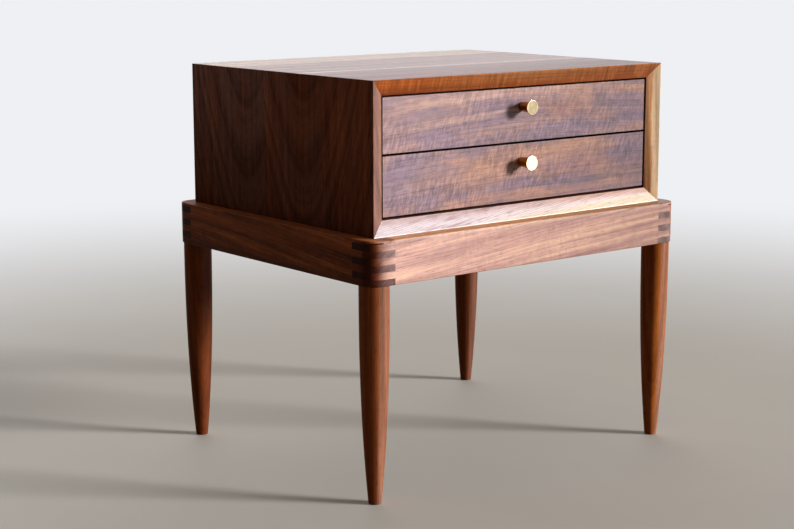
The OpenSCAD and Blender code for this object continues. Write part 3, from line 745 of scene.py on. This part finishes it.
def crosshead(bm, head_r, top_z):
    """Sinks a cross-shaped recess into the flat top of a screw's head."""
    arm, reach, depth = head_r * cross_arm_share, head_r * cross_reach_share, head_r * cross_depth_share

    def flat_top():
        level = [f for f in bm.faces if abs(f.normal.z) > 0.99]
        return [f for f in level if abs(f.calc_center_median().z - top_z) < weld]

    def in_cross(centre):
        across = sorted((abs(centre.x), abs(centre.y)))
        return across[0] < arm and across[1] < reach

    for axis in (X, Y):
        for offset in (-reach, -arm, arm, reach):
            faces = flat_top()
            edges = dict.fromkeys(e for f in faces for e in f.edges)
            verts = dict.fromkeys(v for f in faces for v in f.verts)
            geom = [*faces, *edges, *verts]
            bmesh.ops.bisect_plane(bm, geom=geom, dist=weld, plane_co=axis * offset, plane_no=axis)
    cross = [f for f in flat_top() if in_cross(f.calc_center_median())]
    sunk = bmesh.ops.extrude_face_region(bm, geom=cross)["geom"]
    floor = [v for v in sunk if isinstance(v, bmesh.types.BMVert)]
    bmesh.ops.scale(bm, vec=(0.5, 0.5, 1.0), verts=floor)
    bmesh.ops.translate(bm, vec=(0.0, 0.0, -depth), verts=floor)


def thread(bm, crest_r, root_r, pitch, high_z, low_z):
    """Winds a thread's ridge round the shank, from high_z down to low_z."""
    turns = (high_z - low_z) / pitch - 1
    steps = round(turns * thread_turn_steps)
    section = [
        bm.verts.new((root_r * 0.96, 0.0, high_z)),
        bm.verts.new((crest_r, 0.0, high_z - pitch * 0.3)),
        bm.verts.new((root_r * 0.96, 0.0, high_z - pitch * 0.6)),
    ]
    ring = [bm.edges.new((section[k], section[(k + 1) % 3])) for k in range(3)]
    bm.faces.new(section)
    drop = Vector((0.0, 0.0, (low_z - high_z + pitch) / steps))
    wound = bmesh.ops.spin(bm, geom=section + ring, cent=(0, 0, 0), axis=Z, dvec=drop,
                           angle=math.tau * steps / thread_turn_steps, steps=steps)
    last = [v for v in wound["geom_last"] if isinstance(v, bmesh.types.BMVert)]
    bm.faces.new(last)


def wood_screw(length):
    """A countersunk wood screw: head up at the origin, shank down, with a cut thread and a point."""
    head_r, shank_r = 3.4 * mm, 1.6 * mm
    root_r = shank_r * thread_share
    head_l = head_r - shank_r
    neck, tip = -length * 0.36, -length + 2.5 * mm
    bm = turned([
        (0.0, 0.0),
        (head_r - 0.2 * mm, 0.0),
        (head_r, -0.2 * mm),
        (shank_r, -head_l),
        (shank_r, neck),
        (root_r, neck - 0.4 * mm),
        (root_r, tip),
        (0.0, -length),
    ], head_turns)
    bmesh.ops.recalc_face_normals(bm, faces=bm.faces)
    crosshead(bm, head_r, 0.0)
    thread(bm, shank_r, root_r, 1.4 * mm, neck, tip)
    return bm


def screws(name, node, body, material, slot, made, way):
    """One screw for each solid of a CAD node. way gives the direction that a screw's point faces."""
    whole = bmesh.new()
    for low, high in islands(node):
        centre, size = (low + high) / 2, high - low
        shank = way(centre)
        length = abs(size.dot(shank))
        bm = made(length)
        turn = (-shank).to_track_quat("Z", "Y").to_matrix().to_4x4()
        into_place = Matrix.Translation(centre - shank * length / 2) @ turn
        bmesh.ops.transform(bm, matrix=into_place, verts=bm.verts)
        part = bpy.data.meshes.new("part")
        bm.to_mesh(part)
        bm.free()
        whole.from_mesh(part)
        bpy.data.meshes.remove(part)
    finished(name, whole, material, slot, body, node)


brass_tones = ((0.72, 0.52, 0.26), (0.87, 0.70, 0.44))
steel_tones = ((0.48, 0.48, 0.49), (0.66, 0.66, 0.67))
screw_brass = metal("screw_brass", brass_tones, 0.32, (900.0, 900.0, 900.0))
screw_steel = metal("screw_steel", steel_tones, 0.34, (900.0, 900.0, 900.0))
screws("back_panel_brass_screws", "back_panel_screws", "stand", screw_brass, "brass", wood_screw,
       lambda centre: -Y)


# Frame fasteners
# Six stamped steel plates, shaped like an eight, let into the rails' top inner edges. One screw goes
# down into the rail and one up into the case, so that the case's boards can move with the seasons.
dressed("frame_fasteners", metal("plate_steel", steel_tones, 0.38, (60.0, 1500.0, 60.0)))
screws("plate_screws_in_rails", "rail_screws", "stand", screw_steel, "steel", wood_screw, lambda centre: -Z)
screws("plate_screws_in_case", "case_screws", "stand", screw_steel, "steel", wood_screw, lambda centre: Z)


# Drawer runners
# Four maple strips, screwed to the case's sides, on which the drawers' grooved sides slide. They are
# waxed and have their long edges eased.
runner_ease = 0.8 * mm
runner_ease_steps = 2
for place in ("upper_left", "upper_right", "lower_left", "lower_right"):
    node = place + "_runner"
    bm = joined_copy(node)
    eased(bm, long_edges(bm, Y), runner_ease, runner_ease_steps)
    heart = (0.3 * len(place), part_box(node)[0].z * 1.7, 0.21)
    maple = grained(place + "_runner_maple", Y, Z, heart, maple_tones, ring=3.5 * mm, late=0.14, curl=0.03)
    finished(place + "_runner_strip", bm, maple, "maple", "stand", node)
screws("runner_wood_screws", "runner_screws", "stand", screw_steel, "steel", wood_screw,
       lambda centre: X if centre.x > 0 else -X)


# Drawer fronts
# Two boards of figured walnut from one plank, so that the grain sweeps over both. Short curly ripples
# cross the grain, and purple-grey, tan and dark patches cloud it; the lilac and purple-grey are partly a
# painted reflection of the cool window. Their front edges are eased.
front_ease = 0.8 * mm
front_ease_steps = 3
patch_depth = 100.0 * mm


def front_edges(bm, low, high):
    """The edges around a drawer front's face."""

    def on_rim(co):
        sideways = min(abs(co.x - low.x), abs(co.x - high.x))
        upwards = min(abs(co.z - low.z), abs(co.z - high.z))
        return abs(co.y - low.y) < weld and min(sideways, upwards) < weld

    rim = [e for e in bm.edges if all(on_rim(v.co) for v in e.verts)]
    return [e for e in rim if e.is_manifold and e.calc_face_angle() > square_angle]


# The cool purple-grey in these tones and in the lilac, mauve and smoke patches is partly the wood's own
# colour and partly a painted reflection of the cool window on the satin finish.
upper_tones = ((0.200, 0.146, 0.190), (0.328, 0.207, 0.216), (0.480, 0.272, 0.218))
lower_tones = ((0.192, 0.136, 0.174), (0.320, 0.196, 0.196), (0.480, 0.255, 0.184))
gap_painted_shade = (0.026, 0.013, 0.009)
top_edge_brown_in_shade = (0.150, 0.075, 0.052)
lilac_and_sheen = (0.268, 0.187, 0.240)
mauve_and_sheen = (0.300, 0.212, 0.252)
rust = (0.360, 0.182, 0.160)
tan = (0.490, 0.262, 0.182)
peach = (0.600, 0.362, 0.290)
smoke = (0.185, 0.132, 0.162)

# A patch has a colour, its middle across and up, its length, its width and its strength.
front_looks = {
    "upper": {
        "tones": upper_tones,
        "heart": (-0.35, 0.845, 0.060),
        "bend": (0.17, -0.22),
        "curl": 0.20,
        "patches": [
            (mauve_and_sheen, -0.20, 0.530, 0.17, 0.070, 0.60),
            (lilac_and_sheen, -0.19, 0.503, 0.12, 0.014, 0.60),
            (peach, -0.02, 0.566, 0.32, 0.024, 0.65),
            (lilac_and_sheen, 0.00, 0.484, 0.32, 0.020, 0.55),
            (peach, -0.16, 0.551, 0.12, 0.007, 0.75),
            (peach, -0.13, 0.523, 0.15, 0.006, 0.75),
            (peach, -0.02, 0.532, 0.10, 0.004, 0.45),
            (peach, 0.04, 0.558, 0.14, 0.005, 0.45),
            (peach, -0.03, 0.511, 0.11, 0.004, 0.45),
            (rust, 0.09, 0.530, 0.08, 0.020, 0.60),
            (smoke, 0.160, 0.540, 0.030, 0.026, 0.75),
            (tan, 0.225, 0.553, 0.09, 0.010, 0.80),
            (lilac_and_sheen, 0.12, 0.502, 0.14, 0.012, 0.80),
            (smoke, 0.18, 0.498, 0.12, 0.009, 0.45),
            (lilac_and_sheen, 0.23, 0.510, 0.08, 0.018, 0.60),
            (tan, 0.165, 0.512, 0.04, 0.012, 0.50),
        ],
    },
    "lower": {
        "tones": lower_tones,
        "heart": (-0.95, 0.760, 0.070),
        "bend": (0.10, -0.04),
        "curl": 0.23,
        "patches": [
            (mauve_and_sheen, -0.20, 0.455, 0.16, 0.060, 0.75),
            (lilac_and_sheen, -0.235, 0.462, 0.05, 0.040, 0.70),
            (tan, -0.06, 0.450, 0.13, 0.045, 0.85),
            (tan, 0.08, 0.468, 0.15, 0.030, 0.85),
            (rust, 0.13, 0.445, 0.12, 0.025, 0.60),
            (smoke, -0.155, 0.430, 0.055, 0.010, 0.75),
            (lilac_and_sheen, -0.02, 0.422, 0.13, 0.010, 0.60),
            (lilac_and_sheen, 0.22, 0.462, 0.07, 0.032, 0.85),
            (smoke, 0.215, 0.455, 0.05, 0.012, 0.60),
            (smoke, 0.08, 0.421, 0.20, 0.004, 0.60),
            (lilac_and_sheen, -0.18, 0.409, 0.12, 0.010, 0.35),
            (smoke, 0.18, 0.420, 0.13, 0.012, 0.60),
            (smoke, 0.24, 0.435, 0.05, 0.030, 0.35),
            (tan, 0.16, 0.410, 0.14, 0.008, 0.40),
        ],
    },
}
for place, look in front_looks.items():
    node = place + "_drawer_front"
    face_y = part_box(node)[0].y
    # The fronts are painted darker towards the right, as painted light falloff.
    wood = Wood(place + "_front_walnut", X, Z, look["heart"], look["tones"], ring=6.5 * mm, drift=22.0 * mm,
                bend=look["bend"], painted_falloff=-0.80, curl=look["curl"], slant=-0.3, ripple=285.0, broken=75.0,
                banded=0.12, streaked=0.17, mottled=0.24, fine=0.22)
    hues = wood.noise(wood.straight, (11.0, 42.0, 42.0), detail=2.0)
    wood.wash(wood.rise(hues, 0.50, 0.62) * 0.5, tan)
    wood.wash((1.0 - wood.rise(hues, 0.38, 0.50)) * 0.5, lilac_and_sheen)
    for colour, x, z, long, wide, share in look["patches"]:
        wood.wash(wood.spot((x, face_y, z), (long, wide, patch_depth)) * share, colour)
    # Painted shade on the edges, so that the gaps round the fronts look dark; the upper front's top edge
    # gets a lighter brown, with less painted shade.
    wood.wash(1.0 - wood.rise(wood.maths("ABSOLUTE", wood.facing(Y)), 0.70, 0.90), gap_painted_shade)
    if place == "upper":
        wood.wash(wood.rise(wood.facing(Z), 0.5, 0.9), top_edge_brown_in_shade)
    bm = joined_copy(node)
    eased(bm, front_edges(bm, *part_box(node)), front_ease, front_ease_steps)
    walnut = wood.polished(rough=0.45, gloss=0.0, coat=wood.rise(wood.facing(-Y), 0.7, 0.9) * 0.35)
    finished(place + "_front_board", bm, walnut, "front_walnut", place + "_drawer", node)


# Drawer boxes
# Maple sides and backs, dovetailed together and into the fronts, round a thin maple bottom that slides
# into grooves from behind. The sides' top edges are rounded over so that they are kind to the hand.
side_ease = 1.2 * mm
side_ease_steps = 3


def top_edges(bm, direction, top_z):
    return [e for e in long_edges(bm, direction) if all(abs(v.co.z - top_z) < weld for v in e.verts)]


box_parts = {"left_side": (Y, Z), "right_side": (Y, Z), "back": (X, Z), "bottom": (X, Y)}
for place in ("upper", "lower"):
    for part, (along, across) in box_parts.items():
        node = place + "_drawer_" + part
        low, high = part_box(node)
        heart = (0.37 * len(node), 0.28 + low.z * 0.9, 0.17 + low.x * 0.2)
        maple = grained(node + "_maple", along, across, heart, maple_tones, ring=4.5 * mm,
                        drift=12.0 * mm, late=0.14, curl=0.03)
        bm = joined_copy(node)
        if part != "bottom":
            eased(bm, top_edges(bm, along, high.z), side_ease, side_ease_steps)
        finished(node + "_board", bm, maple, "maple", place + "_drawer", node)
    screws(place + "_drawer_bottom_screws", place + "_drawer_screws", place + "_drawer", screw_steel,
           "steel", wood_screw, lambda centre: Z)


# Knobs
# Two small solid brass knobs, turned with a slim stem that flares into a flat face with a raised rim.
# A machine screw from inside the drawer holds each one. They are brushed satin.
knob_base_r = 6.7 * mm
knob_neck_r = 8.2 * mm
knob_r = 10.8 * mm
knob_l = 23.5 * mm
knob_flange = 3.4 * mm
knob_disc = 1.4 * mm
knob_edge = 0.5 * mm
knob_rim = 1.6 * mm
knob_dish = 0.3 * mm
knob_bore_r = 2.05 * mm
knob_bore_l = 10.05 * mm
knob_turns = 96
stem_gold_painted_shade = (0.34, 0.122, 0.009)

# The knobs are the same brass. The upper one is smoother, and the lower one's lighter colour is a
# painted reflection of the window: how rough and how light each of them is.
knob_looks = {"upper": (0.22, 0.66), "lower": (0.40, 0.95)}
flare_steps = 10


def knob_outline():
    flare_z, flare_l = knob_l - knob_flange, knob_flange - knob_disc
    flare_r = knob_r - knob_neck_r
    angles = [math.pi / 2 * k / flare_steps for k in range(flare_steps + 1)]
    flare = [(knob_r - flare_r * math.cos(a), flare_z + flare_l * math.sin(a)) for a in angles]
    rim_in = knob_r - knob_rim
    return [
        (0.0, knob_bore_l),
        (knob_bore_r, knob_bore_l),
        (knob_bore_r, 0.0),
        (knob_base_r - 0.3 * mm, 0.0),
        (knob_base_r, 0.3 * mm),
        *flare,
        *rounding(knob_edge, (knob_r - knob_edge, knob_l - knob_edge), 0, 90, 5),
        (rim_in, knob_l),
        (rim_in - knob_dish, knob_l - knob_dish),
        (0.0, knob_l - knob_dish),
    ]


def machine_screw(length):
    """A pan head screw, head up at the origin, which clamps the knob through the front."""
    head_r, head_l, shank_r = 4.0 * mm, 2.4 * mm, 2.0 * mm
    root_r = shank_r * 0.85
    bm = turned([
        (0.0, 0.0),
        *rounding(0.9 * mm, (head_r - 0.9 * mm, -0.9 * mm), 90, 0),
        (head_r, -head_l),
        (shank_r, -head_l),
        (shank_r, -length + 12.0 * mm),
        (root_r, -length + 11.8 * mm),
        (root_r, -length + 0.4 * mm),
        (root_r - 0.4 * mm, -length),
        (0.0, -length),
    ], head_turns)
    bmesh.ops.recalc_face_normals(bm, faces=bm.faces)
    crosshead(bm, head_r * 0.75, 0.0)
    thread(bm, shank_r, root_r, 0.7 * mm, -length + 11.8 * mm, -length + 0.4 * mm)
    return bm


def brushed_brass(name, centre, rough, light):
    """Brass with fine rings round the knob's axis and a little tarnish, a painted highlight on the rim and
    painted shade in deeper gold on the stem.
    """
    paint = Paint(bpy.data.materials.new(name))
    here = paint.node("ShaderNodeTexCoord", {}, {}, "Object")
    middle = paint.vector("SUBTRACT", here, centre)
    radius = paint.vector("LENGTH", paint.vector("MULTIPLY", middle, (1.0, 0.0, 1.0)), output="Value")
    rings = paint.noise_along(radius * 4200.0 + paint.axis(middle, "Y") * 3600.0, detail=2.0)
    cloud = paint.noise(here, (120.0, 120.0, 120.0), detail=3.0)
    face = paint.ramp(cloud * 0.7 + rings * 0.3, [(0.3, brass_tones[0]), (0.65, brass_tones[1])])
    normal = paint.node("ShaderNodeNewGeometry", {}, {}, "Normal")
    forward = paint.vector("DOT_PRODUCT", normal, -Y, output="Value")
    relief = {"Height": rings, "Distance": 0.012 * mm, "Strength": 0.6}
    # The raised rim gets a painted highlight, and the stem, which faces away from the front, painted shade.
    rim_painted_highlight = paint.rise(radius, knob_r - knob_rim - 0.2 * mm, knob_r - knob_rim + 0.2 * mm)
    shining = paint.dimmed(face, light + rim_painted_highlight * 0.3)
    paint.plug(paint.surface, {
        "Base Color": paint.mix(paint.rise(forward, 0.2, 0.8), (*stem_gold_painted_shade, 1.0), shining),
        "Metallic": 1.0,
        "Roughness": rough + (cloud - 0.5) * 0.14 + (rings - 0.5) * 0.08,
        "Normal": paint.node("ShaderNodeBump", {}, relief),
    })
    return paint.owner


for place, (rough, light) in knob_looks.items():
    node = place + "_knob"
    low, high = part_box(node)
    base = Vector(((low.x + high.x) / 2, high.y, (low.z + high.z) / 2))
    bm = turned(knob_outline(), knob_turns)
    facing_out = Matrix.Translation(base) @ Matrix.Rotation(math.pi / 2, 4, "X")
    bmesh.ops.transform(bm, matrix=facing_out, verts=bm.verts)
    brass = brushed_brass(place + "_knob_brass", base, rough, light)
    finished(place + "_turned_knob", bm, brass, "brass", place + "_drawer", node)
    screws(place + "_knob_machine_screw", place + "_knob_screw", place + "_drawer", screw_steel, "steel",
           machine_screw, lambda centre: -Y)


# Studio
# A plain pale floor that melts into a pale surround. A low window light comes from the right of the
# front, as in the photograph, with a weak fill from the front and two weak lights from behind.
floor_half = 60.0
floor_drop = 0.2 * mm
floor_tones = ((0.70, 0.655, 0.585), (0.77, 0.720, 0.645))
floor_bounce = (0.26, 0.24, 0.22)
floor_end_near, floor_end_far = 0.6, 2.8
surround = (0.86, 0.87, 0.90)
room_light = (0.075, 0.066, 0.060)
window = (Vector((0.64, -0.735, 0.24)), 3.9, math.radians(14))
lamps = {
    "window": window,
    "window_on_flat_pieces": window,
    "front_fill": (Vector((0.47, -0.86, 0.20)), 0.2, math.radians(30)),
    "back_light": (Vector((0.35, 0.85, 0.55)), 0.5, math.radians(70)),
    "back_fill": (Vector((0.50, 0.86, 0.05)), 0.8, math.radians(40)),
}
without_glare = ("window_on_flat_pieces", "back_fill")


def looked_at(paint):
    """1 for a ray from the camera, also by a reflection or through glass, and 0 for one that lights."""
    seen = 0.0
    for ray in ("Is Camera Ray", "Is Glossy Ray", "Is Transmission Ray"):
        seen = paint.maths("MAXIMUM", seen, paint.node("ShaderNodeLightPath", {}, {}, ray))
    return seen


bm = bmesh.new()
bmesh.ops.create_grid(bm, x_segments=1, y_segments=1, size=floor_half)
bmesh.ops.translate(bm, vec=(0.0, 0.0, -floor_drop), verts=bm.verts)
floor_mesh = bpy.data.meshes.new("floor")
bm.to_mesh(floor_mesh)
bm.free()
floor = bpy.data.objects.new("floor", floor_mesh)
bpy.context.scene.collection.objects.link(floor)
floor_paint = Paint(bpy.data.materials.new("pale_floor"))
floor_here = floor_paint.node("ShaderNodeTexCoord", {}, {}, "Object")
floor_cloud = floor_paint.noise(floor_here, (1.3, 1.3, 1.3), detail=4.0)
floor_seen = floor_paint.ramp(floor_cloud, [(0.3, floor_tones[0]), (0.7, floor_tones[1])])
floor_paint.plug(floor_paint.surface, {
    "Base Color": floor_paint.mix(looked_at(floor_paint), (*floor_bounce, 1.0), floor_seen),
    "Roughness": 0.7,
    "Specular IOR Level": 0.2,
})
away = floor_paint.vector("LENGTH", floor_here, output="Value")
melt = floor_paint.rise(away, floor_end_near, floor_end_far) * looked_at(floor_paint)
horizon = floor_paint.node("ShaderNodeEmission", {}, {"Color": (*surround, 1.0), "Strength": 1.0})
lit = Wire(floor_paint, floor_paint.surface.outputs[0])
blend = floor_paint.node("ShaderNodeMixShader", {}, {0: melt, 1: lit, 2: horizon})
floor_paint.plug(floor_paint.tree.nodes["Material Output"], {"Surface": blend})
floor_mesh.materials.append(floor_paint.owner)

for name, (source, power, width) in lamps.items():
    lamp = bpy.data.objects.new(name, bpy.data.lights.new(name, "SUN"))
    lamp.data.energy = power
    lamp.data.angle = width
    lamp.rotation_euler = source.to_track_quat("Z", "Y").to_euler()
    lamp.visible_glossy = name not in without_glare
    bpy.context.scene.collection.objects.link(lamp)

# The top and the drawer boxes have a window lamp of their own that casts no glare, because the low
# window would bleach them to white in a view from behind.
flat_pieces = ["case_top_board"]
for place in front_looks:
    flat_pieces += [f"{place}_drawer_{part}_board" for part in box_parts]
for name, state in (("window", "EXCLUDE"), ("window_on_flat_pieces", "INCLUDE")):
    lit = bpy.data.collections.new(name + "_lights")
    for piece in flat_pieces:
        lit.objects.link(bpy.data.objects[piece])
    for member in lit.collection_objects:
        member.light_linking.link_state = state
    bpy.data.objects[name].light_linking.receiver_collection = lit

bpy.context.scene.world = bpy.data.worlds.new("surround")
air = Paint(bpy.context.scene.world)
colour = air.mix(looked_at(air), (*room_light, 1.0), (*surround, 1.0))
air.plug(air.tree.nodes["Background"], {"Color": colour, "Strength": 1.0})
